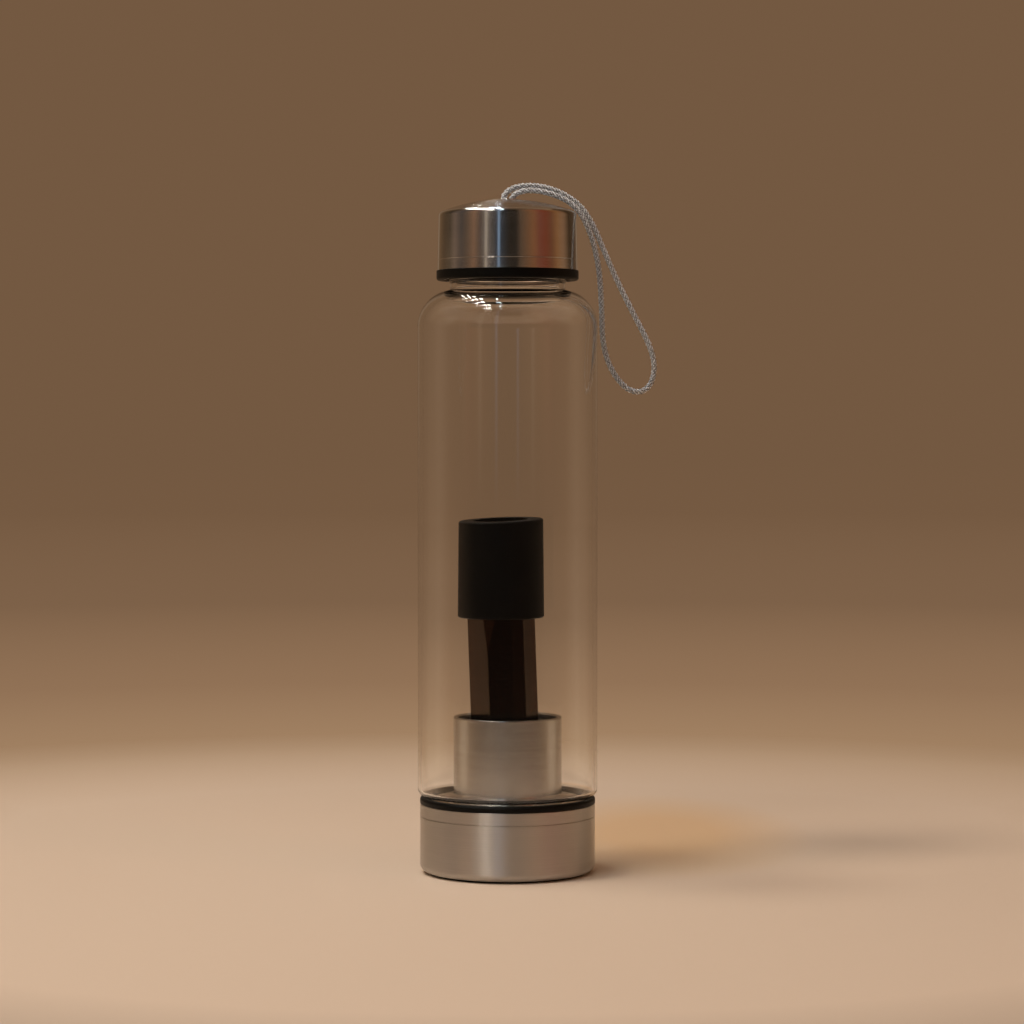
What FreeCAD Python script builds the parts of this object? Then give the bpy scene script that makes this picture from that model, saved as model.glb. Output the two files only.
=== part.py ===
"""Double-ended glass infuser bottle: steel screw cap with a lanyard, glass tube body,
steel screw base carrying a cup, a leaning faceted stone and a rubber sleeve on its tip.

Millimetres, +Z up, origin at the centre of the underside of the foot pad.
"""

import FreeCAD, Part
import math
import os

from FreeCAD import Placement, Rotation, Vector

UP = Vector(0, 0, 1)
AXIS_POINT = Vector(0, 0, 0)

# ---- driving dimensions ----------------------------------------------------------

running_gap = 0.3           # between curved faces of pieces that move apart
seat_gap = 0.05             # between flat faces that rest on each other

# glass tube
body_r = 32.5
body_wall = 2.0
shoulder_r = 13.0           # rounding of the upper shoulder
heel_r = 3.0                # rounding of the lower shoulder
top_neck_r = 20.8
top_neck_wall = 2.2
top_rim_z = 234.6
bottom_neck_r = 28.6
bottom_neck_wall = 1.8
bottom_rim_z = 14.1
neck_bead_r = 0.8           # half-round bead under the cap
neck_bead_z = 213.5
shoulder_edge_z = 207.48    # where the shoulder's slope would meet the body, unrounded
heel_edge_z = 29.2          # the same for the lower shoulder

# screw base
base_r = 31.6
base_top_z = 25.1
base_skin = 0.8
base_edge_r = 2.6
base_groove_z = 20.7
pad_r = 28.8
pad_t = 0.6
ring_r = 31.7               # glossy ring between steel and glass, top and bottom
ring_top_z = 27.6
seat_z = 12.15              # floor of the base liner, under the glass rim

# screw cap
cap_bottom_r = 25.4
cap_top_r = 24.95
cap_bottom_z = 217.3
cap_edge_z = 238.1
cap_apex_z = 242.6
cap_skin = 0.7
cap_edge_r = 1.8
cap_groove_z = 221.0
cap_ring_r = 25.6
cap_ring_z = 213.7
cap_roof_z = 235.65         # underside of the liner's roof
cap_roof_t = 1.25
groove_r = 0.2              # half-round line pressed into cap and base

# screw threads, two starts each
cap_thread_height = 1.2
base_thread_height = 0.9
cap_lead = 8.0
base_lead = 6.0
cap_thread_z = (219.1, 230.1)
base_thread_z = (16.4, 23.4)

# eyelet, washer and knot under the cap's crown
eyelet_bore_r = 2.6
eyelet_barrel_r = 3.1
eyelet_flange_r = 3.9
eyelet_flange_t = 0.35
washer_r = 3.6
washer_z = (240.55, 241.0)
knot_r = 3.4
knot_z = (237.2, 240.5)

# cup on its pedestal plate
plate_r = 26.3
plate_t = 1.2
plate_top_z = 27.5
cup_r = 19.55
cup_wall = 1.0
cup_lip_r = 18.0
cup_top_z = 56.6
cup_floor_z = 29.3
cup_foot_r = 21.4

# stone: a leaning irregular prism with a pointed tip
lean = -0.035               # run in X for each millimetre up
stone_foot_x = -0.1
stone_shoulder_z = 98.6
stone_tip_z = 113.6
stone_corners = [
    (-12.2, -0.8),
    (-5.2, -10.4),
    (3.5, -11.4),
    (7.8, -9.2),
    (12.1, -1.4),
    (6.6, 9.8),
    (-6.2, 10.2),
]
chip_corner = 1             # the corner that the small sloping face cuts
chip_start_z = 80.1
chip_slope = 0.052          # how far the face cuts in for each millimetre up

# rubber sleeve over the tip
sleeve_low_r = 15.6
sleeve_top_r = 15.25
sleeve_z = (92.4, 127.6)
sleeve_x = -2.4
sleeve_mouth_r = 10.0
sleeve_top_tilt = (1.7, -2.1)   # degrees about X and about Y

# lanyard: the cord's route, from the knot, out of the eyelet, round the loop and back
cord_d = 2.1
cord_route = [
    (-1.3, 0.3, 240.5),
    (-1.4, 0.4, 243.5),
    (-0.3, 0.8, 246.5),
    (3.7, 1.1, 248.8),
    (9.8, 1.2, 249.4),
    (18.0, 1.2, 247.8),
    (25.6, 1.2, 243.3),
    (30.8, 1.2, 235.9),
    (34.1, 1.3, 227.2),
    (37.9, 1.4, 217.4),
    (42.5, 1.2, 207.2),
    (47.6, 0.9, 197.5),
    (51.6, 0.5, 188.6),
    (53.7, 0.2, 181.8),
    (52.9, -0.1, 177.2),
    (49.3, -0.4, 173.9),
    (44.4, -0.7, 173.6),
    (39.9, -1.0, 176.3),
    (36.6, -1.3, 182.8),
    (34.8, -1.4, 193.0),
    (34.5, -1.3, 205.0),
    (34.3, -1.2, 215.2),
    (33.5, -1.2, 224.4),
    (31.4, -1.2, 232.2),
    (28.6, -1.2, 239.0),
    (23.6, -1.2, 244.6),
    (16.4, -1.1, 247.8),
    (9.3, -0.9, 248.5),
    (4.1, -0.6, 246.8),
    (1.4, -0.4, 243.8),
    (1.2, -0.3, 240.5),
]


# ---- shape helpers ---------------------------------------------------------------

def rounded_wire(corners):
    """A closed wire in the XZ plane through (r, z) or (r, z, rounding) corners."""
    points = [Vector(c[0], 0, c[1]) for c in corners]
    radii = [c[2] if len(c) > 2 else 0.0 for c in corners]
    edges = []
    stops = []
    for i, point in enumerate(points):
        to_last = (points[i - 1] - point).normalize()
        to_next = (points[(i + 1) % len(points)] - point).normalize()
        if radii[i] == 0:
            stops.append((point, None, point))
            continue
        half = to_last.getAngle(to_next) / 2
        reach = radii[i] / math.tan(half)
        inward = (to_last + to_next).normalize()
        middle = point + inward * (radii[i] / math.sin(half) - radii[i])
        stops.append((point + to_last * reach, middle, point + to_next * reach))
    for i, (start, middle, end) in enumerate(stops):
        if middle is not None:
            edges.append(Part.Arc(start, middle, end).toShape())
        following = stops[(i + 1) % len(stops)][0]
        if end.distanceToPoint(following) > 1e-6:
            edges.append(Part.LineSegment(end, following).toShape())
    return Part.Wire(edges)


def turned(*corners):
    """The solid of revolution about Z of a rounded outline."""
    return Part.Face(rounded_wire(corners)).revolve(AXIS_POINT, UP, 360)


def disc(radius, low, high):
    return Part.makeCylinder(radius, high - low, Vector(0, 0, low))


def line_groove(radius, z):
    return Part.makeTorus(radius, groove_r, Vector(0, 0, z))


def thread(root_r, height, root_width, crest_width, lead, z_range, first_angle):
    """Two helical ridges. A negative height points them inwards."""
    low, high = z_range
    sunk = -math.copysign(0.4, height)
    profile = Part.makePolygon([
        Vector(root_r + sunk, 0, -root_width / 2),
        Vector(root_r, 0, -root_width / 2),
        Vector(root_r + height, 0, -crest_width / 2),
        Vector(root_r + height, 0, crest_width / 2),
        Vector(root_r, 0, root_width / 2),
        Vector(root_r + sunk, 0, root_width / 2),
        Vector(root_r + sunk, 0, -root_width / 2),
    ])
    helix = Part.Wire(Part.makeHelix(lead, high - low, root_r).Edges)
    ridge = helix.makePipeShell([profile], True, True)
    ridge.translate(Vector(0, 0, low))
    ridges = []
    for angle in (first_angle, first_angle + 180):
        copy = ridge.copy()
        copy.rotate(AXIS_POINT, UP, angle)
        ridges.append(copy)
    return ridges


def merged(first, *others):
    return first.fuse(list(others)).removeSplitter()


# ---- screw base ------------------------------------------------------------------

def make_base_pad():
    return turned((0, 0), (pad_r, 0, 0.3), (pad_r, pad_t), (0, pad_t))


def make_base_shell():
    outer = turned(
        (0, pad_t),
        (base_r, pad_t, base_edge_r),
        (base_r, base_top_z, 0.2),
        (0, base_top_z),
    )
    inner_r = base_r - base_skin
    floor = pad_t + base_skin
    inner = turned(
        (0, floor),
        (inner_r, floor, base_edge_r - base_skin),
        (inner_r, base_top_z + 1),
        (0, base_top_z + 1),
    )
    return outer.cut(inner).cut(line_groove(base_r, base_groove_z))


def make_base_liner():
    skirt_r = base_r - base_skin - seat_gap
    bore_r = bottom_neck_r + base_thread_height + 0.35
    liner = turned(
        (0, seat_z - 2),
        (skirt_r - 2, seat_z - 2, 1),
        (skirt_r - 2, base_edge_r + 1),
        (skirt_r, base_edge_r + 1),
        (skirt_r, base_top_z + seat_gap),
        (ring_r, base_top_z + seat_gap, 0.3),
        (ring_r, ring_top_z, 1.2),
        (bore_r, ring_top_z, 0.5),
        (bore_r, seat_z, 0.4),
        (0, seat_z),
    )
    ridges = thread(bore_r, -(base_thread_height + 0.05), 1.4, 0.7, base_lead, base_thread_z, 90)
    return merged(liner, *ridges)


def make_base_gasket():
    inner = plate_r + running_gap
    outer = bottom_neck_r - 0.1
    low = seat_z + seat_gap
    high = bottom_rim_z - seat_gap
    return turned((inner, low, 0.4), (outer, low, 0.4), (outer, high, 0.4), (inner, high, 0.4))


# ---- cup -------------------------------------------------------------------------

def make_cup_plate():
    """A drawn pedestal: a round top plate with a skirt standing on the base liner."""
    skirt_t = 1.0
    return turned(
        (0, plate_top_z - plate_t),
        (plate_r - skirt_t, plate_top_z - plate_t, 0.8),
        (plate_r - skirt_t, seat_z),
        (plate_r, seat_z),
        (plate_r, plate_top_z, 1.2),
        (0, plate_top_z),
    )


def make_stone_cup():
    inner_r = cup_r - cup_wall
    foot_z = plate_top_z
    return turned(
        (0, foot_z),
        (cup_foot_r, foot_z, 0.1),
        (cup_foot_r, foot_z + 0.4, 0.1),
        (cup_r, foot_z + 0.4, 1.3),
        (cup_r, cup_top_z, 0.5),
        (cup_lip_r, cup_top_z, 0.6),
        (cup_lip_r, cup_top_z - 1.6, 0.3),
        (inner_r, cup_top_z - 2.2, 0.3),
        (inner_r, cup_floor_z, 1.5),
        (0, cup_floor_z),
    )


# ---- glass -----------------------------------------------------------------------

def make_glass():
    slope_out = 0.236       # the upper shoulder falls this much for each mm outwards
    slope_in = 0.33         # and the lower shoulder rises this much
    inner_r = body_r - body_wall
    neck_in_r = top_neck_r - top_neck_wall
    foot_in_r = bottom_neck_r - bottom_neck_wall
    drop = top_neck_wall * math.hypot(1, slope_out)
    lift = body_wall * math.hypot(1, slope_in)

    def top_z(radius):
        return shoulder_edge_z + slope_out * (body_r - radius)

    def heel_z(radius):
        return heel_edge_z - slope_in * (body_r - radius)

    tube = turned(
        (bottom_neck_r, bottom_rim_z, 1.0),
        (bottom_neck_r, heel_z(bottom_neck_r), 0.8),
        (body_r, heel_edge_z, heel_r),
        (body_r, shoulder_edge_z, shoulder_r),
        (top_neck_r, top_z(top_neck_r), 2.0),
        (top_neck_r, top_rim_z, 1.0),
        (neck_in_r, top_rim_z, 1.0),
        (neck_in_r, top_z(neck_in_r) - drop, 4.2),
        (inner_r, top_z(inner_r) - drop, shoulder_r - body_wall),
        (inner_r, heel_z(inner_r) + lift, heel_r - body_wall),
        (foot_in_r, heel_z(foot_in_r) + lift, 2.5),
        (foot_in_r, bottom_rim_z, 1.0),
    )
    bead = Part.makeTorus(top_neck_r + 0.1, neck_bead_r, Vector(0, 0, neck_bead_z))
    cap_ridges = thread(top_neck_r, cap_thread_height, 2.0, 1.0, cap_lead, cap_thread_z, 0)
    base_ridges = thread(bottom_neck_r, base_thread_height, 1.5, 0.8, base_lead, base_thread_z, 0)
    return merged(tube, bead, *cap_ridges, *base_ridges)


# ---- screw cap -------------------------------------------------------------------

def make_cap_shell():
    crown_r = 62.0
    rise = cap_apex_z - cap_edge_z
    crown_slope = 2 * math.atan2(rise, cap_top_r)
    knee_r = rise / math.tan(crown_slope)

    def crown(radius, foot_r, foot_z, edge_z, edge_r, apex_z, knee):
        return turned(
            (0, foot_z),
            (foot_r, foot_z),
            (radius, edge_z, edge_r),
            (radius - knee, apex_z, crown_r),
            (0, apex_z),
        )

    outer = crown(cap_top_r, cap_bottom_r, cap_bottom_z, cap_edge_z, cap_edge_r, cap_apex_z, knee_r)
    inner = crown(
        cap_top_r - cap_skin,
        cap_bottom_r - cap_skin,
        cap_bottom_z - 1,
        cap_edge_z - 0.5,
        cap_edge_r - cap_skin,
        cap_apex_z - cap_skin,
        knee_r,
    )
    hole = disc(eyelet_barrel_r + seat_gap, cap_edge_z, cap_apex_z + 1)
    return outer.cut(inner).cut(hole).cut(line_groove(cap_bottom_r - 0.08, cap_groove_z))


def make_cap_liner():
    bore_r = top_neck_r + cap_thread_height + 0.4
    wall_low_r = cap_bottom_r - cap_skin - seat_gap
    wall_top_r = cap_top_r - cap_skin - seat_gap
    roof_top = cap_roof_z + cap_roof_t
    liner = turned(
        (bore_r, cap_ring_z, 0.8),
        (cap_ring_r, cap_ring_z, 0.9),
        (cap_ring_r, cap_bottom_z - seat_gap, 0.2),
        (wall_low_r, cap_bottom_z - seat_gap),
        (wall_top_r, roof_top, 1.4),
        (0, roof_top),
        (0, cap_roof_z),
        (bore_r, cap_roof_z, 0.4),
    )
    ridges = thread(bore_r, -(cap_thread_height + 0.05), 1.8, 0.9, cap_lead, cap_thread_z, 90)
    return merged(liner, *ridges)


def make_cap_gasket():
    inner = top_neck_r - top_neck_wall + 0.1
    outer = top_neck_r + cap_thread_height + 0.1
    low = top_rim_z + seat_gap
    high = cap_roof_z - seat_gap
    return turned((inner, low, 0.2), (outer, low, 0.2), (outer, high, 0.2), (inner, high, 0.2))


def make_cap_eyelet():
    top = cap_apex_z + eyelet_flange_t
    under = cap_apex_z - cap_skin - seat_gap
    return turned(
        (eyelet_bore_r, top, 0.3),
        (eyelet_bore_r, under - 0.4, 0.3),
        (eyelet_flange_r - 0.3, under - 0.4, 0.15),
        (eyelet_flange_r - 0.3, under - 0.1),
        (eyelet_barrel_r, under - 0.1),
        (eyelet_barrel_r, cap_apex_z),
        (eyelet_flange_r, cap_apex_z),
        (eyelet_flange_r, top, 0.2),
    )


# ---- lanyard ---------------------------------------------------------------------

def make_lanyard_washer():
    low, high = washer_z
    return turned(
        (eyelet_bore_r - 0.1, low),
        (washer_r, low, 0.1),
        (washer_r, high, 0.1),
        (eyelet_bore_r - 0.1, high),
    )


def make_lanyard_knot():
    low, high = knot_z
    return turned((0, low), (knot_r, low, 1.5), (knot_r, high, 1.2), (0, high))


def make_lanyard_loop():
    """The cord's tube: straight runs joined by tangent arcs, with its radii printed."""
    points = [Vector(*p) for p in cord_route]
    edges = []
    at = points[0]
    for last, here, after in zip(points, points[1:], points[2:]):
        to_last = (last - here).normalize()
        to_after = (after - here).normalize()
        half_turn = (math.pi - to_last.getAngle(to_after)) / 2
        reach = 0.45 * min(here.distanceToPoint(last), here.distanceToPoint(after))
        bend_r = reach / math.tan(half_turn)
        start = here + to_last * reach
        end = here + to_after * reach
        inward = (to_last + to_after).normalize()
        middle = here + inward * (bend_r / math.cos(half_turn) - bend_r)
        edges.append(Part.LineSegment(at, start).toShape())
        edges.append(Part.Arc(start, middle, end).toShape())
        print(f"cord bend radius {bend_r:6.1f} mm = {bend_r / cord_d:4.1f} diameters")
        at = end
    edges.append(Part.LineSegment(at, points[-1]).toShape())
    path = Part.Wire(edges)
    circle = Part.Circle(points[0], points[1] - points[0], cord_d / 2)
    section = Part.Wire([circle.toShape()])
    tube = path.makePipeShell([section], True, True)
    expected = path.Length * math.pi * cord_d ** 2 / 4
    print(f"cord length {path.Length:.1f} mm, volume {tube.Volume:.1f} of {expected:.1f} mm3")
    return tube


# ---- stone and sleeve ------------------------------------------------------------

def stone_centre(z):
    return stone_foot_x + lean * (z - cup_floor_z)


def stone_section(z, grow):
    """The stone's outline at a height, moved outwards by grow, as a closed wire."""
    corners = [Vector(stone_centre(z) + x, y, z) for x, y in stone_corners]
    wire = Part.makePolygon(corners + [corners[0]])
    if grow == 0:
        return wire
    return wire.makeOffset2D(grow, 2)


def stone_solid(low_z, tip_z, grow):
    """The leaning prism with its pyramid tip."""
    prism = Part.makeLoft([stone_section(low_z, grow), stone_section(stone_shoulder_z, grow)], True)
    top = stone_section(stone_shoulder_z, grow)
    tip = Part.Vertex(stone_centre(tip_z) + 1.2, -0.8, tip_z)
    point = Part.makeLoft([top, tip], True, True)
    return prism.fuse(point).removeSplitter()


def make_stone():
    stone = stone_solid(cup_floor_z + seat_gap, stone_tip_z, 0)
    x, y = stone_corners[chip_corner]
    outward = Vector(x, y, 0).normalize()
    edge = Vector(stone_centre(chip_start_z) + x, y, chip_start_z)
    tilt = math.degrees(math.atan(chip_slope)) + math.degrees(math.atan(lean * outward.x))
    side = outward.cross(UP)
    chip = Part.makeBox(60, 60, 80, Vector(0, -30, -20))
    chip.Placement = Placement(edge, Rotation(outward, side, UP, "XYZ"))
    chip.rotate(edge, side, tilt)
    return stone.cut(chip)


def make_sleeve():
    low, high = sleeve_z
    sleeve = Part.makeCone(sleeve_low_r, sleeve_top_r, high + 5 - low)
    sleeve.translate(Vector(sleeve_x, 0, low))
    top_at = Vector(sleeve_x, 0, high)
    above = Part.makeBox(60, 60, 30, Vector(sleeve_x - 30, -30, high))
    above.rotate(top_at, Vector(1, 0, 0), sleeve_top_tilt[0])
    above.rotate(top_at, Vector(0, 1, 0), sleeve_top_tilt[1])
    sleeve = sleeve.cut(above)
    rims = [edge for edge in sleeve.Edges if edge.Length < 110 and edge.Closed]
    sleeve = sleeve.makeFillet(0.8, rims)
    cavity = stone_solid(low - 5, stone_tip_z + 1, running_gap)
    mouth = Part.makeCylinder(sleeve_mouth_r, 40, Vector(sleeve_x, 0, low + 9))
    return sleeve.cut(cavity).cut(mouth)


makers = {
    "base_pad": make_base_pad,
    "base_shell": make_base_shell,
    "base_liner": make_base_liner,
    "base_gasket": make_base_gasket,
    "cup_plate": make_cup_plate,
    "stone_cup": make_stone_cup,
    "glass_body": make_glass,
    "cap_shell": make_cap_shell,
    "cap_liner": make_cap_liner,
    "cap_gasket": make_cap_gasket,
    "cap_eyelet": make_cap_eyelet,
    "lanyard_washer": make_lanyard_washer,
    "lanyard_knot": make_lanyard_knot,
    "lanyard_loop": make_lanyard_loop,
    "stone_point": make_stone,
    "stone_sleeve": make_sleeve,
}

os.makedirs("parts", exist_ok=True)
for name, make in makers.items():
    shape = make()
    print(f"{name}: {shape.ShapeType}, valid {shape.isValid()}, {shape.Volume / 1000:.2f} cm3, "
          f"solids {len(shape.Solids)}")
    shape.exportStep(f"parts/{name}.step")
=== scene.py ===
import bpy
import bmesh
import math
from mathutils import Matrix, Vector


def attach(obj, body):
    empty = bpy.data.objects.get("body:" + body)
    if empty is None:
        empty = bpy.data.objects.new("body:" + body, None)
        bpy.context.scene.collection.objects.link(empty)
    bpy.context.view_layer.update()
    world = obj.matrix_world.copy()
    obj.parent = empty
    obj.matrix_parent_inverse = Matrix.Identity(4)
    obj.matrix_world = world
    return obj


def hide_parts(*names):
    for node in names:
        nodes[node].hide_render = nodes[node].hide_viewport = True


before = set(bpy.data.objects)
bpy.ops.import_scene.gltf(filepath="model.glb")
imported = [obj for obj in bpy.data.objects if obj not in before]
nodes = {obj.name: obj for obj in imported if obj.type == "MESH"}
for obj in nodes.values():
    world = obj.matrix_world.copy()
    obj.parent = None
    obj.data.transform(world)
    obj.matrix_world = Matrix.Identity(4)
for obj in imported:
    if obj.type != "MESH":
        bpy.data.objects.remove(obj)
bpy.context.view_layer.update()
mm = 0.001
print("frame loaded:", len(nodes), "nodes")


# ---- small tools for shapes ----

def roundOff(bm, vert, radius, segments):
    # rounds one corner of an outline with an arc of that radius
    arms = [edge.other_vert(vert).co - vert.co for edge in vert.link_edges]
    reach = radius / math.tan(arms[0].angle(arms[1]) / 2)
    bmesh.ops.bevel(bm, geom=[vert], offset=reach, offset_type="OFFSET", segments=segments,
                    profile=0.5, affect="VERTICES", material=-1)


def drawOutline(bm, corners, closed):
    # corners are (radius, height) or (radius, height, rounding, segments), in millimetres
    verts = [bm.verts.new((c[0] * mm, 0, c[1] * mm)) for c in corners]
    pairs = list(zip(verts, verts[1:] + verts[:1]))
    for first, second in pairs if closed else pairs[:-1]:
        bm.edges.new((first, second))
    for vert, corner in zip(verts, corners):
        if len(corner) > 2:
            roundOff(bm, vert, corner[2] * mm, corner[3])


def spinOutline(bm, steps):
    bmesh.ops.spin(bm, geom=bm.verts[:] + bm.edges[:], cent=(0, 0, 0), axis=(0, 0, 1),
                   angle=2 * math.pi, steps=steps, use_merge=True)
    bmesh.ops.remove_doubles(bm, verts=bm.verts, dist=1e-7)


def finishPiece(bm, name, material, body, creaseAngle=35, weighted=True):
    # turns the bmesh into a shaded object that rides on a body
    bmesh.ops.recalc_face_normals(bm, faces=bm.faces)
    for face in bm.faces:
        face.smooth = True
    for edge in bm.edges:
        edge.smooth = len(edge.link_faces) == 2 and edge.calc_face_angle() < math.radians(creaseAngle)
    mesh = bpy.data.meshes.new(name)
    bm.to_mesh(mesh)
    bm.free()
    piece = bpy.data.objects.new(name, mesh)
    bpy.context.collection.objects.link(piece)
    mesh.materials.append(material)
    if weighted:
        keep = piece.modifiers.new("even normals", "WEIGHTED_NORMAL")
        keep.keep_sharp = True
    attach(piece, body)
    return piece


# ---- small tools for materials ----

class Shader:
    # a material's node tree, with short calls for the nodes used here
    def __init__(self, name):
        self.material = bpy.data.materials.new(name)
        self.material.use_nodes = True
        self.tree = self.material.node_tree
        self.surface = self.tree.nodes["Principled BSDF"]
        self.output = self.tree.nodes["Material Output"]

    def add(self, kind, **values):
        node = self.tree.nodes.new("ShaderNode" + kind)
        for key, value in values.items():
            setattr(node, key, value)
        return node

    def link(self, source, target):
        self.tree.links.new(source, target)

    def math(self, operation, first, second=0.5):
        node = self.add("Math", operation=operation)
        for socket, value in zip(node.inputs, (first, second)):
            if isinstance(value, (int, float)):
                socket.default_value = value
            else:
                self.link(value, socket)
        return node.outputs[0]

    def noise(self, vector, scale, detail=2.0, roughness=0.5):
        node = self.add("TexNoise")
        node.inputs["Scale"].default_value = scale
        node.inputs["Detail"].default_value = detail
        node.inputs["Roughness"].default_value = roughness
        self.link(vector, node.inputs["Vector"])
        return node.outputs["Fac"]

    def spread(self, value, low, high, fromLow=0.3, fromHigh=0.7):
        node = self.add("MapRange")
        node.inputs["From Min"].default_value = fromLow
        node.inputs["From Max"].default_value = fromHigh
        node.inputs["To Min"].default_value = low
        node.inputs["To Max"].default_value = high
        self.link(value, node.inputs["Value"])
        return node.outputs["Result"]

    def between(self, fac, first, second):
        node = self.add("Mix", data_type="RGBA")
        self.link(fac, node.inputs["Factor"])
        node.inputs["A"].default_value = (*first, 1)
        node.inputs["B"].default_value = (*second, 1)
        return node.outputs["Result"]

    def bump(self, height, strength, distance):
        node = self.add("Bump")
        node.inputs["Strength"].default_value = strength
        node.inputs["Distance"].default_value = distance
        self.link(height, node.inputs["Height"])
        self.link(node.outputs["Normal"], self.surface.inputs["Normal"])

    def objectPlace(self, scale=(1, 1, 1)):
        place = self.add("TexCoord")
        mapping = self.add("Mapping")
        mapping.inputs["Scale"].default_value = scale
        self.link(place.outputs["Object"], mapping.inputs["Vector"])
        return mapping.outputs["Vector"]

    def set(self, **values):
        for key, value in values.items():
            self.surface.inputs[key.replace("_", " ")].default_value = value


# ---- materials ----

def spunSteel(name, look):
    # brushed round the axis: fine rings that vary across the surface and hardly along it
    shader = Shader(name)
    place = shader.objectPlace()
    parts = shader.add("SeparateXYZ")
    shader.link(place, parts.inputs[0])
    flat = shader.add("CombineXYZ")
    shader.link(parts.outputs["X"], flat.inputs["X"])
    shader.link(parts.outputs["Y"], flat.inputs["Y"])
    radius = shader.add("VectorMath", operation="LENGTH")
    shader.link(flat.outputs[0], radius.inputs[0])
    across = shader.math("SUBTRACT", parts.outputs["Z"], radius.outputs["Value"])
    ring = shader.add("CombineXYZ")
    for axis in "XY":
        shader.link(shader.math("MULTIPLY", parts.outputs[axis], look["along"]), ring.inputs[axis])
    shader.link(shader.math("MULTIPLY", across, look["across"]), ring.inputs["Z"])
    fine = shader.noise(ring.outputs[0], 1.0, 3.0, 0.6)
    broad = shader.noise(shader.objectPlace((1, 1, 1)), look["smudge"], 3.0)
    shader.link(shader.between(shader.spread(fine, 0, 1), look["dark"], look["light"]),
                shader.surface.inputs["Base Color"])
    low, high = look["roughness"]
    grain = shader.spread(fine, low, high)
    shader.link(shader.math("ADD", grain, shader.spread(broad, -0.02, 0.03)),
                shader.surface.inputs["Roughness"])
    shader.bump(fine, look["bump"], 0.00003)
    tangent = shader.add("Tangent", direction_type="RADIAL", axis="Z")
    shader.link(tangent.outputs[0], shader.surface.inputs["Tangent"])
    shader.set(Metallic=1.0, Anisotropic=look["anisotropic"], Anisotropic_Rotation=0.25)
    return shader.material


def glossPlastic(name, look):
    shader = Shader(name)
    grain = shader.noise(shader.objectPlace(), 900, 2.0)
    shader.link(shader.between(shader.spread(grain, 0, 1), look["dark"], look["light"]),
                shader.surface.inputs["Base Color"])
    shader.link(shader.spread(grain, *look["roughness"]), shader.surface.inputs["Roughness"])
    shader.bump(grain, 0.02, 0.00003)
    shader.set(Specular_IOR_Level=0.15)
    return shader.material


def softRubber(name, look):
    shader = Shader(name)
    grain = shader.noise(shader.objectPlace(), look["grain"], 4.0, 0.6)
    dust = shader.noise(shader.objectPlace((1, 1, 0.4)), 160, 3.0)
    shader.link(shader.between(shader.spread(dust, 0, 1, 0.45, 0.75), look["dark"], look["light"]),
                shader.surface.inputs["Base Color"])
    shader.link(shader.spread(grain, *look["roughness"]), shader.surface.inputs["Roughness"])
    shader.bump(grain, look["bump"], 0.0001)
    shader.set(Sheen_Weight=look["sheen"], Sheen_Roughness=0.4, Specular_IOR_Level=look["specular"])
    return shader.material


def clearGlass(name, look):
    # clear glass with faint drawing lines up the tube; lamps shine through it
    shader = Shader(name)
    lines = shader.noise(shader.objectPlace((1, 1, 0.02)), look["lines"], 2.0)
    shader.bump(lines, look["bump"], 0.0002)
    shader.set(Base_Color=(*look["tint"], 1), Roughness=look["roughness"], IOR=1.47,
               Transmission_Weight=1.0)
    rays = shader.add("LightPath")
    through = shader.add("BsdfTransparent")
    through.inputs["Color"].default_value = (*look["shade"], 1)
    mix = shader.add("MixShader")
    shader.link(rays.outputs["Is Shadow Ray"], mix.inputs["Fac"])
    shader.link(shader.surface.outputs[0], mix.inputs[1])
    shader.link(through.outputs[0], mix.inputs[2])
    shader.link(mix.outputs[0], shader.output.inputs["Surface"])
    return shader.material


def smokyStone(name, look):
    # polished crystal: dark where it is thick, brown where light crosses less of it
    shader = Shader(name)
    veil = shader.noise(shader.objectPlace((1, 1, 0.35)), look["veil"], 4.0, 0.6)
    shader.link(shader.between(shader.spread(veil, 0, 1), look["dark"], look["light"]),
                shader.surface.inputs["Base Color"])
    shader.link(shader.spread(veil, *look["roughness"]), shader.surface.inputs["Roughness"])
    shader.bump(veil, 0.06, 0.0002)
    shader.set(IOR=1.5, Transmission_Weight=1.0, Specular_IOR_Level=0.2,
               Specular_Tint=(*look["glint"], 1))
    depth = shader.add("VolumeAbsorption")
    depth.inputs["Color"].default_value = (*look["depthColour"], 1)
    depth.inputs["Density"].default_value = look["density"]
    shader.link(depth.outputs[0], shader.output.inputs["Volume"])
    return shader.material


def braidYarn(name, look):
    shader = Shader(name)
    fibre = shader.noise(shader.objectPlace(), 9000, 2.0)
    patch = shader.noise(shader.objectPlace(), 500, 2.0)
    shade = shader.math("ADD", shader.spread(fibre, 0, 0.6), shader.spread(patch, 0, 0.4))
    shader.link(shader.between(shade, look["dark"], look["light"]), shader.surface.inputs["Base Color"])
    shader.link(shader.spread(fibre, *look["roughness"]), shader.surface.inputs["Roughness"])
    shader.bump(fibre, 0.4, 0.00004)
    shader.set(Sheen_Weight=0.5, Sheen_Roughness=0.3)
    return shader.material


steelLook = {
    "dark": (0.60, 0.59, 0.57), "light": (0.66, 0.64, 0.62), "roughness": (0.15, 0.19),
    "anisotropic": 1.0, "along": 20, "across": 9000, "smudge": 60, "bump": 0.025,
}
satinLook = {
    "dark": (0.56, 0.54, 0.51), "light": (0.63, 0.60, 0.57), "roughness": (0.33, 0.37),
    "anisotropic": 1.0, "along": 30, "across": 8000, "smudge": 60, "bump": 0.04,
}
drawnLook = {
    "dark": (0.52, 0.50, 0.48), "light": (0.60, 0.58, 0.55), "roughness": (0.19, 0.24),
    "anisotropic": 0.6, "along": 30, "across": 8000, "smudge": 60, "bump": 0.03,
}
brightLook = {
    "dark": (0.72, 0.71, 0.69), "light": (0.80, 0.79, 0.77), "roughness": (0.12, 0.18),
    "anisotropic": 0.3, "along": 200, "across": 3000, "smudge": 200, "bump": 0.03,
}
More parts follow.
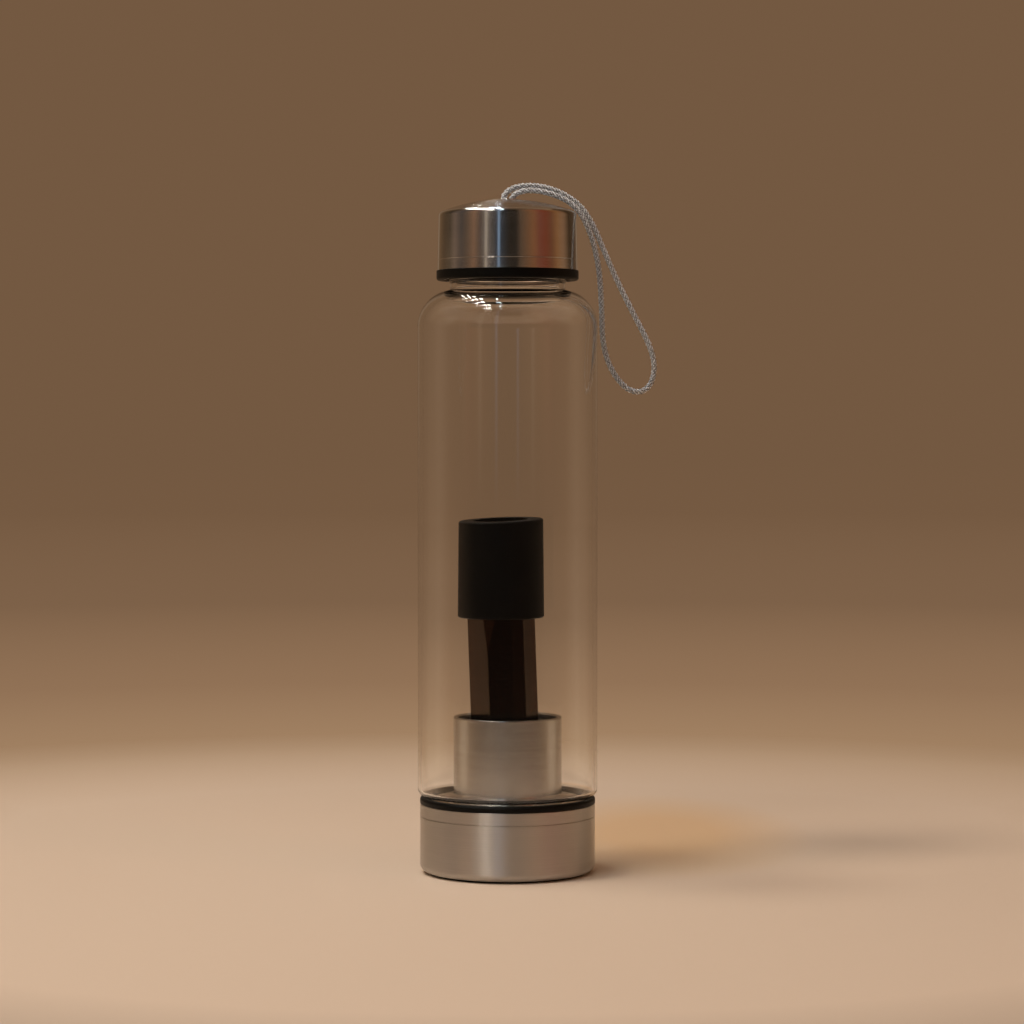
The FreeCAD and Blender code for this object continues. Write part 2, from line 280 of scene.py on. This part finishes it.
plasticLook = {"dark": (0.002, 0.002, 0.002), "light": (0.005, 0.005, 0.004), "roughness": (0.42, 0.50)}
sealLook = {"dark": (0.62, 0.61, 0.57), "light": (0.74, 0.73, 0.70), "grain": 500,
            "roughness": (0.35, 0.5), "bump": 0.1, "sheen": 0.1, "specular": 0.5}
padLook = {"dark": (0.008, 0.008, 0.008), "light": (0.02, 0.02, 0.02), "grain": 1500,
           "roughness": (0.6, 0.8), "bump": 0.4, "sheen": 0.1, "specular": 0.3}
sleeveLook = {"dark": (0.0012, 0.0011, 0.0008), "light": (0.0028, 0.0025, 0.0019), "grain": 2500,
              "roughness": (0.42, 0.56), "bump": 0.15, "sheen": 0.0, "specular": 0.12}
glassLook = {"tint": (0.997, 0.998, 0.996), "roughness": 0.0, "shade": (0.86, 0.87, 0.86),
             "lines": 130, "bump": 0.02}
stoneLook = {"dark": (0.62, 0.36, 0.15), "light": (0.82, 0.52, 0.24), "roughness": (0.02, 0.06),
             "veil": 60, "depthColour": (0.64, 0.50, 0.22), "density": 680,
             "glint": (1.0, 0.60, 0.32)}
yarnLook = {"dark": (0.70, 0.76, 0.84), "light": (0.90, 0.95, 1.0), "roughness": (0.3, 0.5)}
# the darker strands are painted shade, standing for the shade between light strands
shadedYarnLook = {"dark": (0.20, 0.215, 0.235), "light": (0.42, 0.45, 0.49), "roughness": (0.35, 0.6)}
# the near-black core is painted shade seen in the gaps between strands
shadowCoreLook = {"dark": (0.006, 0.006, 0.006), "light": (0.02, 0.02, 0.02), "roughness": (0.5, 0.7)}

brushedSteel = spunSteel("brushed steel", steelLook)
satinSteel = spunSteel("satin steel", satinLook)
drawnSteel = spunSteel("drawn steel", drawnLook)
brightSteel = spunSteel("bright steel", brightLook)
blackPlastic = glossPlastic("gloss black plastic", plasticLook)
milkySilicone = softRubber("milky silicone", sealLook)
padRubber = softRubber("pad rubber", padLook)
sleeveRubber = softRubber("sleeve rubber", sleeveLook)
bottleGlass = clearGlass("clear glass", glassLook)
brownStone = smokyStone("smoky stone", stoneLook)
greyYarn = braidYarn("grey yarn", yarnLook)
shadedYarn = braidYarn("shaded yarn", shadedYarnLook)
shadowCoreYarn = braidYarn("shadow core yarn", shadowCoreLook)

nodeFinish = {
    "base_pad": padRubber,
    "base_shell": satinSteel,
    "base_liner": blackPlastic,
    "base_gasket": milkySilicone,
    "cup_plate": drawnSteel,
    "stone_cup": drawnSteel,
    "cap_shell": brushedSteel,
    "cap_liner": blackPlastic,
    "cap_gasket": milkySilicone,
    "cap_eyelet": brightSteel,
    "lanyard_washer": brightSteel,
    "lanyard_knot": greyYarn,
    "glass_body": bottleGlass,
    "stone_point": brownStone,
    "stone_sleeve": sleeveRubber,
}
for name, material in nodeFinish.items():
    slots = nodes[name].material_slots
    if not slots:
        nodes[name].data.materials.append(material)
    for slot in slots:
        slot.material = material
print("materials set on", len(nodeFinish), "nodes")


# ---- glass body ----

glassSet = {
    "bodyR": 32.5, "wall": 2.0, "shoulderR": 13.0, "heelR": 2.0, "heelWall": 1.3,
    "neckR": 20.8, "neckWall": 2.2, "rimZ": 234.6, "footR": 28.6, "footWall": 1.8, "footZ": 14.1,
    "shoulderZ": 207.1, "slopeOut": 0.29, "heelZ": 28.6, "slopeIn": 0.25,
    "bead": (213.6, 0.4),       # height and size of the ridge round the neck
    "footRows": (15.2, 24.6, 0.2), "neckRows": (217.6, 231.6, 0.25),     # where the threads need points
    "thinFrom": 115.0, "thinTurn": 3000.0,      # the wall thins gently below this height
    "steps": 256,
    # root radius, height, root and crest width, lead, lowest and highest
    "threads": ((20.8, 1.2, 2.0, 1.0, 8.0, 219.1, 230.1), (28.6, 0.9, 1.5, 0.8, 6.0, 16.4, 23.4)),
}


def glassOutline(look):
    neckIn = look["neckR"] - look["neckWall"]
    footIn = look["footR"] - look["footWall"]
    inside = look["bodyR"] - look["wall"]
    drop = look["neckWall"] * math.hypot(1, look["slopeOut"])
    lift = look["heelWall"] * math.hypot(1, look["slopeIn"])
    low = look["bodyR"] - look["heelWall"]
    beadZ, beadR = look["bead"]

    def shoulder(radius):
        return look["shoulderZ"] + look["slopeOut"] * (look["bodyR"] - radius)

    def heel(radius):
        return look["heelZ"] - look["slopeIn"] * (look["bodyR"] - radius)

    def rows(radius, low, high, gap):
        count = int((high - low) / gap)
        return [(radius, low + (high - low) * i / count) for i in range(count + 1)]

    return [
        (look["footR"], look["footZ"], 0.7, 6), *rows(look["footR"], *look["footRows"]),
        (look["footR"], heel(look["footR"]), 0.8, 5),
        (look["bodyR"], look["heelZ"], look["heelR"], 12),
        (look["bodyR"], look["shoulderZ"], look["shoulderR"], 28),
        (look["neckR"], shoulder(look["neckR"]), 1.0, 8),
        (look["neckR"], beadZ - beadR * 2, 0.3, 3), (look["neckR"] + beadR, beadZ - beadR, 0.4, 4),
        (look["neckR"] + beadR, beadZ + beadR, 0.4, 4), (look["neckR"], beadZ + beadR * 2, 0.3, 3),
        *rows(look["neckR"], *look["neckRows"]),
        (look["neckR"], look["rimZ"], 1.0, 8), (neckIn, look["rimZ"], 1.0, 8),
        (neckIn, shoulder(neckIn) - drop, 3.0, 14),
        (inside, shoulder(inside) - drop, look["shoulderR"] - look["wall"], 26),
        (inside, look["thinFrom"], look["thinTurn"], 8),
        (low, heel(low) + lift + 1.6, 8.0, 4), (low, heel(low) + lift, 0.9, 8),
        (footIn, heel(footIn) + lift, 1.6, 10), (footIn, look["footZ"], 0.7, 6),
    ]


def raiseThread(bm, rootR, height, rootWidth, crestWidth, lead, low, high):
    # two helical ridges, fading in and out at their ends
    for vert in bm.verts:
        place = vert.co / mm
        if abs(place.xy.length - rootR) > 0.02 or not low - 2 < place.z < high + 2:
            continue
        turn = math.atan2(place.y, place.x) / (2 * math.pi)
        centre = low + lead * turn
        centre += lead / 2 * round((place.z - centre) / (lead / 2))
        offset = abs(place.z - centre)
        rise = min(1, max(0, (rootWidth / 2 - offset) / (rootWidth / 2 - crestWidth / 2)))
        ends = min(1, max(0, (centre - low + 0.2) / 0.6), max(0, (high + 0.2 - centre) / 0.6))
        rise = rise * rise * (3 - 2 * rise) * ends
        vert.co.xy *= (rootR + height * rise) / rootR


def makeGlass():
    bm = bmesh.new()
    drawOutline(bm, glassOutline(glassSet), True)
    spinOutline(bm, glassSet["steps"])
    for thread in glassSet["threads"]:
        raiseThread(bm, *thread)
    glass = finishPiece(bm, "glassTube", bottleGlass, "glass", 60)
    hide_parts("glass_body")
    print("glass:", len(glass.data.polygons), "faces")


makeGlass()


# ---- camera, floor and lights ----

cameraSet = {"lens": 105.5, "distance": 1.083, "eyeHeight": 0.1653, "side": 0.0016, "pitch": 1.85}
cameraData = bpy.data.cameras.new("camera")
cameraData.lens = cameraSet["lens"]
cameraData.sensor_width = 36
camera = bpy.data.objects.new("camera", cameraData)
camera.location = (cameraSet["side"], -cameraSet["distance"], cameraSet["eyeHeight"])
camera.rotation_euler = (math.radians(90 - cameraSet["pitch"]), 0, 0)
bpy.context.collection.objects.link(camera)
bpy.context.scene.camera = camera

# the studio's colour by how far a direction points to the back, as a share of the back's own
studioTints = ((-0.75, (0.15, 0.18, 0.23)), (-0.05, (1, 1, 1)), (0.15, (1.75, 2.0, 2.3)),
               (0.42, (1.6, 1.8, 2.0)), (0.60, (1, 1, 1)), (1.0, (1, 1, 1)))
tintPeak = 2.5          # the ramps hold the tints as shares of this
floorSet = {
    "radius": 9.0, "pale": (0.66, 0.565, 0.475),
    "lit": 0.26, "far": 0.48,       # distances between which the lit floor gives way to the glow
    "aside": (0.20, 0.30),          # the same, sideways
    # the amber patch is painted caustic light on the floor beside the base
    "patch": (0.66, 0.49, 0.32), "causticMiddle": (0.060, 0.050, 0), "causticSquash": 0.5,
    "causticEdge": (0.022, 0.060),
    # distance from the middle, and the colour of the floor's glow there, darkened with distance as
    # painted falloff of light
    "glowFalloff": ((0.0, (0.52, 0.34, 0.21)), (0.28, (0.50, 0.325, 0.195)), (0.43, (0.36, 0.223, 0.125)),
             (0.77, (0.283, 0.168, 0.093)), (1.57, (0.205, 0.120, 0.066)),
             (4.0, (0.176, 0.101, 0.054)), (9.0, (0.172, 0.099, 0.053))),
}


def rampOf(shader, fac, stops):
    ramp = shader.add("ValToRGB")
    shader.link(fac, ramp.inputs["Fac"])
    elements = ramp.color_ramp.elements
    while len(elements) < len(stops):
        elements.new(0.5)
    for element, (place, colour) in zip(elements, sorted(stops)):
        element.position = place
        element.color = (*colour, 1)
    return ramp.outputs["Color"]


def makeFloor():
    bm = bmesh.new()
    bmesh.ops.create_circle(bm, cap_ends=True, radius=floorSet["radius"], segments=128)
    mesh = bpy.data.meshes.new("floor")
    bm.to_mesh(mesh)
    bm.free()
    floor = bpy.data.objects.new("floor", mesh)
    bpy.context.collection.objects.link(floor)
    # lit by the lamps near the bottle; further out the floor glows, its glow painted darker with
    # distance as painted falloff of light, towards the colour of the studio
    shader = Shader("pale floor")
    shader.set(Roughness=0.85, Specular_IOR_Level=0.2)
    away = shader.add("VectorMath", operation="LENGTH")
    shader.link(shader.objectPlace(), away.inputs[0])
    share = shader.math("DIVIDE", away.outputs["Value"], floorSet["radius"])
    stops = [(place / floorSet["radius"], colour) for place, colour in floorSet["glowFalloff"]]
    parts = shader.add("SeparateXYZ")
    shader.link(shader.objectPlace(), parts.inputs[0])
    behind = shader.math("DIVIDE", parts.outputs["Y"], away.outputs["Value"])
    tints = [((place + 1) / 2, tuple(part / tintPeak for part in tint)) for place, tint in studioTints]
    tone = shader.add("VectorMath", operation="MULTIPLY")
    shader.link(rampOf(shader, shader.spread(behind, 0, 1, -1, 1), tints), tone.inputs[0])
    shader.link(rampOf(shader, share, stops), tone.inputs[1])
    # the far floor glows with a painted falloff of light, darker with distance
    glow = shader.add("Emission")
    shader.link(tone.outputs[0], glow.inputs["Color"])
    glow.inputs["Strength"].default_value = tintPeak
    mix = shader.add("MixShader")
    aside = shader.spread(shader.math("ABSOLUTE", parts.outputs["X"]), 0, 1, *floorSet["aside"])
    beyond = shader.spread(away.outputs["Value"], 0, 1, floorSet["lit"], floorSet["far"])
    shader.link(shader.math("MAXIMUM", aside, beyond), mix.inputs["Fac"])
    # a soft amber patch of painted caustic light, standing for warm light bent through the glass, is
    # painted on the floor beside the base
    near = shader.add("VectorMath", operation="DISTANCE")
    shader.link(shader.objectPlace((1, floorSet["causticSquash"], 1)), near.inputs[0])
    near.inputs[1].default_value = floorSet["causticMiddle"]
    shader.link(shader.between(shader.spread(near.outputs["Value"], 0, 1, *floorSet["causticEdge"]),
                               floorSet["patch"], floorSet["pale"]), shader.surface.inputs["Base Color"])
    shader.link(shader.surface.outputs[0], mix.inputs[1])
    shader.link(glow.outputs[0], mix.inputs[2])
    shader.link(mix.outputs[0], shader.output.inputs["Surface"])
    mesh.materials.append(shader.material)


makeFloor()

# upright studio bands that only reflections see: azimuth from the front, colour
bandSet = {
    "radius": 2.6, "low": -0.05, "high": 3.2,
    "split": -0.45,                 # where the part ahead ends, as a share of the radius
    "melt": (0.04, 0.34),           # heights between which the bands come in
    "lowTone": (0.19, 0.11, 0.06),
    "bands": (
        (-180, (0.172, 0.099, 0.053)), (-166, (0.172, 0.099, 0.053)), (-158, (0.30, 0.21, 0.14)),
        (-150, (0.17, 0.10, 0.05)), (-128, (0.09, 0.055, 0.03)),
        (-110, (0.045, 0.032, 0.019)), (-97, (0.14, 0.095, 0.072)), (-82, (0.06, 0.055, 0.052)),
        (-70, (0.13, 0.083, 0.055)), (-57, (0.29, 0.155, 0.087)), (-46, (0.085, 0.052, 0.035)),
        (-39, (0.15, 0.11, 0.08)), (-35.5, (0.56, 0.45, 0.34)), (-32, (0.10, 0.075, 0.06)),
        (-25, (0.045, 0.035, 0.03)), (-17, (0.035, 0.04, 0.05)), (-14.2, (0.36, 0.52, 0.74)),
        (-11.5, (0.03, 0.035, 0.045)), (3, (0.022, 0.017, 0.012)),
        (14, (0.022, 0.018, 0.014)), (23, (0.14, 0.085, 0.05)),
        (44, (0.30, 0.125, 0.05)), (54, (0.24, 0.07, 0.040)), (66, (0.22, 0.045, 0.020)),
        (77, (0.17, 0.055, 0.024)), (90, (0.27, 0.115, 0.038)), (105, (0.23, 0.115, 0.055)),
        (121, (0.035, 0.018, 0.007)), (150, (0.10, 0.06, 0.035)),
        (158, (0.30, 0.21, 0.14)), (166, (0.172, 0.099, 0.053)), (180, (0.172, 0.099, 0.053)),
    ),
}


def makeBands(name, ahead):
    bm = bmesh.new()
    bmesh.ops.create_circle(bm, radius=bandSet["radius"], segments=128)
    bmesh.ops.translate(bm, verts=bm.verts, vec=(0, 0, bandSet["low"]))
    pulled = bmesh.ops.extrude_edge_only(bm, edges=bm.edges[:])
    raised = [part for part in pulled["geom"] if isinstance(part, bmesh.types.BMVert)]
    bmesh.ops.translate(bm, verts=raised, vec=(0, 0, bandSet["high"] - bandSet["low"]))
    split = bandSet["split"] * bandSet["radius"]
    other = [face for face in bm.faces if (face.calc_center_median().y < split) != ahead]
    bmesh.ops.delete(bm, geom=other, context="FACES")
    mesh = bpy.data.meshes.new(name)
    bm.to_mesh(mesh)
    bm.free()
    wall = bpy.data.objects.new(name, mesh)
    bpy.context.collection.objects.link(wall)
    shader = Shader("studio " + name)
    parts = shader.add("SeparateXYZ")
    shader.link(shader.objectPlace((1, -1, 1)), parts.inputs[0])
    angle = shader.math("ARCTAN2", parts.outputs["X"], parts.outputs["Y"])
    share = shader.spread(angle, 0, 1, -math.pi, math.pi)
    glow = shader.add("Emission")
    stops = [((turn + 180) / 360, colour) for turn, colour in bandSet["bands"]]
    # low down the bands melt into the studio's own colour
    depth = shader.spread(parts.outputs["Y"], 1, -1, -bandSet["radius"], bandSet["radius"])
    tone = shader.add("VectorMath", operation="SCALE")
    tints = [((place + 1) / 2, tuple(part / tintPeak for part in tint)) for place, tint in studioTints]
    shader.link(rampOf(shader, shader.spread(depth, 0, 1, -1, 1), tints), tone.inputs[0])
    tone.inputs["Scale"].default_value = tintPeak
    dim = shader.add("VectorMath", operation="MULTIPLY")
    shader.link(tone.outputs[0], dim.inputs[0])
    dim.inputs[1].default_value = bandSet["lowTone"]
    blend = shader.add("Mix", data_type="RGBA")
    shader.link(shader.spread(parts.outputs["Z"], 0, 1, *bandSet["melt"]), blend.inputs["Factor"])
    shader.link(dim.outputs[0], blend.inputs["A"])
    shader.link(rampOf(shader, share, stops), blend.inputs["B"])
    shader.link(blend.outputs["Result"], glow.inputs["Color"])
    shader.link(glow.outputs[0], shader.output.inputs["Surface"])
    mesh.materials.append(shader.material)
    for kind in ("camera", "diffuse", "volume_scatter", "shadow"):
        setattr(wall, "visible_" + kind, False)
    # only the part ahead shows in what is reflected inside the glass
    wall.visible_transmission = ahead


makeBands("bandsAhead", True)
makeBands("bandsBehind", False)

# panels of small bright dots overhead, seen only as highlights
panelSet = {
    # middle, dots across and deep, spacing across and deep, dot radius, strength, colour
    "warmDots": ((-0.52, -0.08, 1.33), 3, 6, 0.080, 0.28, 0.019, 60, (1.0, 0.92, 0.82)),
    "coolDots": ((-0.16, -0.10, 1.33), 1, 5, 0.070, 0.28, 0.018, 52, (0.76, 0.88, 1.0)),
}
aim = Vector((0, 0, 0.11))


def outward(azimuth, elevation):
    turn, rise = math.radians(azimuth), math.radians(elevation)
    return Vector((math.sin(turn) * math.cos(rise), -math.cos(turn) * math.cos(rise), math.sin(rise)))


def makePanel(name, look):
    middle, across, deep, gapAcross, gapDeep, dotRadius, strength, colour = look
    bm = bmesh.new()
    for row in range(deep):
        for column in range(across):
            # every other row is moved along by half a gap
            shift = Vector(((column - (across - 1) / 2 + 0.5 * (row % 2)) * gapAcross,
                            (row - (deep - 1) / 2) * gapDeep, 0))
            bmesh.ops.create_circle(bm, cap_ends=True, radius=dotRadius, segments=16,
                                    matrix=Matrix.Translation(Vector(middle) + shift)
                                    @ Matrix.Diagonal((1, 3.4, 1, 1)))
    mesh = bpy.data.meshes.new(name)
    bm.to_mesh(mesh)
    bm.free()
    panel = bpy.data.objects.new(name, mesh)
    bpy.context.collection.objects.link(panel)
    shader = Shader(name)
    glow = shader.add("Emission")
    glow.inputs["Color"].default_value = (*colour, 1)
    glow.inputs["Strength"].default_value = strength
    shader.link(glow.outputs[0], shader.output.inputs["Surface"])
    mesh.materials.append(shader.material)
    for kind in ("camera", "diffuse", "volume_scatter", "shadow"):
        setattr(panel, "visible_" + kind, False)


for name, look in panelSet.items():
    makePanel(name, look)

lampSet = {
    # azimuth from the front, elevation, distance, size, watts, colour
    "overheadWarm": (-106, 70, 1.25, 0.25, 3.2, (1.0, 0.86, 0.70)),
    "overheadCool": (-60, 78, 1.25, 0.20, 1.5, (0.78, 0.88, 1.0)),
    "key": (-62, 58, 1.3, 0.30, 6.5, (1.0, 0.80, 0.62)),
    "above": (20, 80, 1.4, 0.60, 2.6, (1.0, 0.84, 0.70)),
    "frontFill": (-28, 38, 1.7, 0.80, 4.0, (1.0, 0.90, 0.80)),
    "rightGlow": (60, 18, 1.2, 0.30, 0.9, (1.0, 0.42, 0.22)),
}
for name, (azimuth, elevation, distance, size, watts, colour) in lampSet.items():
    lampData = bpy.data.lights.new(name, "AREA")
    lampData.shape = "DISK"
    lampData.size = size
    lampData.energy = watts
    lampData.color = colour
    lamp = bpy.data.objects.new(name, lampData)
    # lamps light the bottle and make no spots on it
    lamp.visible_glossy = False
    lamp.visible_transmission = False
    away = outward(azimuth, elevation)
    lamp.location = aim + away * distance
    lamp.rotation_euler = away.to_track_quat("Z", "Y").to_euler()
    bpy.context.collection.objects.link(lamp)

world = bpy.data.worlds.new("studio")
world.use_nodes = True
# the studio is warm behind the bottle and dim behind the camera
worldTree = world.node_tree
toward = worldTree.nodes.new("ShaderNodeTexCoord")
split = worldTree.nodes.new("ShaderNodeSeparateXYZ")
worldTree.links.new(toward.outputs["Generated"], split.inputs[0])
behind = worldTree.nodes.new("ShaderNodeMapRange")
behind.inputs["From Min"].default_value = -1
worldTree.links.new(split.outputs["Y"], behind.inputs["Value"])
worldTones = [(place, [tone * part for tone, part in zip(tint, floorSet["glowFalloff"][-1][1])])
              for place, tint in studioTints]
tones = worldTree.nodes.new("ShaderNodeValToRGB")
worldTree.links.new(behind.outputs["Result"], tones.inputs["Fac"])
while len(tones.color_ramp.elements) < len(worldTones):
    tones.color_ramp.elements.new(0.5)
for element, (place, colour) in zip(tones.color_ramp.elements, worldTones):
    element.position = (place + 1) / 2
    element.color = (*colour, 1)
worldTree.links.new(tones.outputs["Color"], worldTree.nodes["Background"].inputs["Color"])
bpy.context.scene.world = world
bpy.context.scene.view_settings.view_transform = "Standard"
print("camera, floor and lights ready")


# ---- lanyard ----

lanyardSet = {
    "diameter": 2.1 * mm,
    "strandRadius": 0.28 * mm,
    "weave": 0.20 * mm,         # how far a strand rises and dips as it crosses the others
    "coreRadius": 0.62 * mm,
    "strandsEachWay": 4,
    "lead": 5.2 * mm,           # length of cord in which a strand goes once round
    "stepsPerCrossing": 2,
}
lanyardRoute = [
    (-1.3, 0.3, 240.5),
    (-1.6, 0.4, 243.2),
    (-0.5, 0.8, 245.7),
    (3.6, 1.1, 247.7),
    (9.5, 1.2, 248.0),
    (15.0, 1.2, 247.0),
    (20.6, 1.2, 244.8),
    (25.6, 1.2, 241.3),
    (29.2, 1.2, 236.7),
    (31.9, 1.2, 231.4),
    (34.5, 1.2, 225.1),
    (37.2, 1.2, 218.9),
    (40.0, 1.2, 212.7),
    (43.4, 1.1, 205.8),
    (46.9, 0.9, 198.9),
    (50.3, 0.6, 192.4),
    (52.7, 0.3, 186.0),
    (53.0, 0.1, 180.5),
    (51.3, -0.1, 175.4),
    (47.2, -0.4, 173.2),
    (42.8, -0.7, 174.8),
    (39.6, -1.0, 178.2),
    (36.8, -1.2, 182.8),
    (35.0, -1.3, 188.2),
    (34.1, -1.4, 194.0),
    (34.0, -1.4, 200.2),
    (33.7, -1.3, 207.1),
    (33.3, -1.2, 214.1),
    (32.4, -1.2, 220.9),
    (30.9, -1.2, 227.2),
    (28.9, -1.2, 232.9),
    (26.0, -1.2, 238.5),
    (21.5, -1.2, 242.5),
    (16.4, -1.1, 244.6),
    (11.6, -1.0, 245.9),
    (6.8, -0.8, 246.2),
    (3.0, -0.6, 245.0),
    (1.3, -0.4, 243.3),
    (1.2, -0.3, 240.5),
]


def routePoints(route):
    # the points along the cord's smooth line, read from its spline
    curve = bpy.data.curves.new("lanyardLine", "CURVE")
    curve.dimensions = "3D"
    curve.resolution_u = 24
    spline = curve.splines.new("NURBS")
    spline.points.add(len(route) - 1)
    for point, (x, y, z) in zip(spline.points, route):
        point.co = (x * mm, y * mm, z * mm, 1)
    spline.order_u = 3
    spline.use_endpoint_u = True
    line = bpy.data.objects.new("lanyardLine", curve)
    mesh = bpy.data.meshes.new_from_object(line)
    points = [vert.co.copy() for vert in mesh.vertices]
    bpy.data.objects.remove(line)
    bpy.data.meshes.remove(mesh)
    return points


def evenPoints(points, count):
    # the same line with its points evenly spaced
    lengths = [0.0]
    for first, second in zip(points, points[1:]):
        lengths.append(lengths[-1] + (second - first).length)
    even = []
    place = 0
    for i in range(count):
        along = lengths[-1] * i / (count - 1)
        while place < len(points) - 2 and lengths[place + 1] < along:
            place += 1
        share = (along - lengths[place]) / (lengths[place + 1] - lengths[place])
        even.append(points[place].lerp(points[place + 1], share))
    return even, lengths[-1]


def sideways(points):
    # a direction across the line at each point, carried along without twisting
    across = Vector((0, 1, 0))
    sides = []
    for i, point in enumerate(points):
        ahead = (points[min(i + 1, len(points) - 1)] - points[max(i - 1, 0)]).normalized()
        across = (across - ahead * across.dot(ahead)).normalized()
        sides.append((across, ahead.cross(across)))
    return sides


def braidedCord(name, route, look):
    # light strands wind one way and strands painted darker, as painted shade between them, wind the
    # other, round a core painted near-black as painted shade
    smooth = routePoints(route)
    length = evenPoints(smooth, 2)[1]
    crossing = look["lead"] / (2 * look["strandsEachWay"])
    count = int(length / crossing * look["stepsPerCrossing"]) + 1
    points, length = evenPoints(smooth, count)
    sides = sideways(points)
    step = length / (count - 1)
    middle = look["diameter"] / 2 - look["strandRadius"] - look["weave"] / 2
    curve = bpy.data.curves.new(name, "CURVE")
    curve.dimensions = "3D"
    curve.bevel_depth = look["strandRadius"]
    curve.bevel_resolution = 1
    curve.use_fill_caps = True
    for material in (greyYarn, shadedYarn, shadowCoreYarn):
        curve.materials.append(material)
    for direction in (1, -1):
        for strand in range(look["strandsEachWay"]):
            spline = curve.splines.new("POLY")
            spline.points.add(count - 1)
            # strands of the other way take the yarn painted darker as painted shade
            spline.material_index = 0 if direction > 0 else 1
            for i, (point, (across, beside)) in enumerate(zip(points, sides)):
                along = i * step
                start = 2 * math.pi * strand / look["strandsEachWay"]
                angle = start + direction * 2 * math.pi * along / look["lead"]
                # a strand goes over one crossing strand and under the next
                phase = math.pi * (along / crossing + strand + (0.5 if direction > 0 else 1.5))
                height = middle + look["weave"] * math.sin(phase)
                turned = across * math.cos(angle) + beside * math.sin(angle)
                spline.points[i].co = (*(point + turned * height), 1)
    # the core is coloured near-black as painted shade in the gaps between strands
    core = curve.splines.new("POLY")
    core.points.add(count - 1)
    core.material_index = 2
    for spot, point in zip(core.points, points):
        spot.co = (*point, 1)
        spot.radius = look["coreRadius"] / look["strandRadius"]
    strands = bpy.data.objects.new(name + "Strands", curve)
    mesh = bpy.data.meshes.new_from_object(strands)
    bpy.data.objects.remove(strands)
    for face in mesh.polygons:
        face.use_smooth = True
    return mesh, points, length


loopMesh, loopLine, loopLength = braidedCord("lanyardLoop", lanyardRoute, lanyardSet)
lanyard = bpy.data.objects.new("lanyardLoop", loopMesh)
bpy.context.collection.objects.link(lanyard)
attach(lanyard, "lanyard")
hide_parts("lanyard_loop")
print(f"lanyard: {loopLength:.4f} m, {len(loopMesh.polygons)} faces")
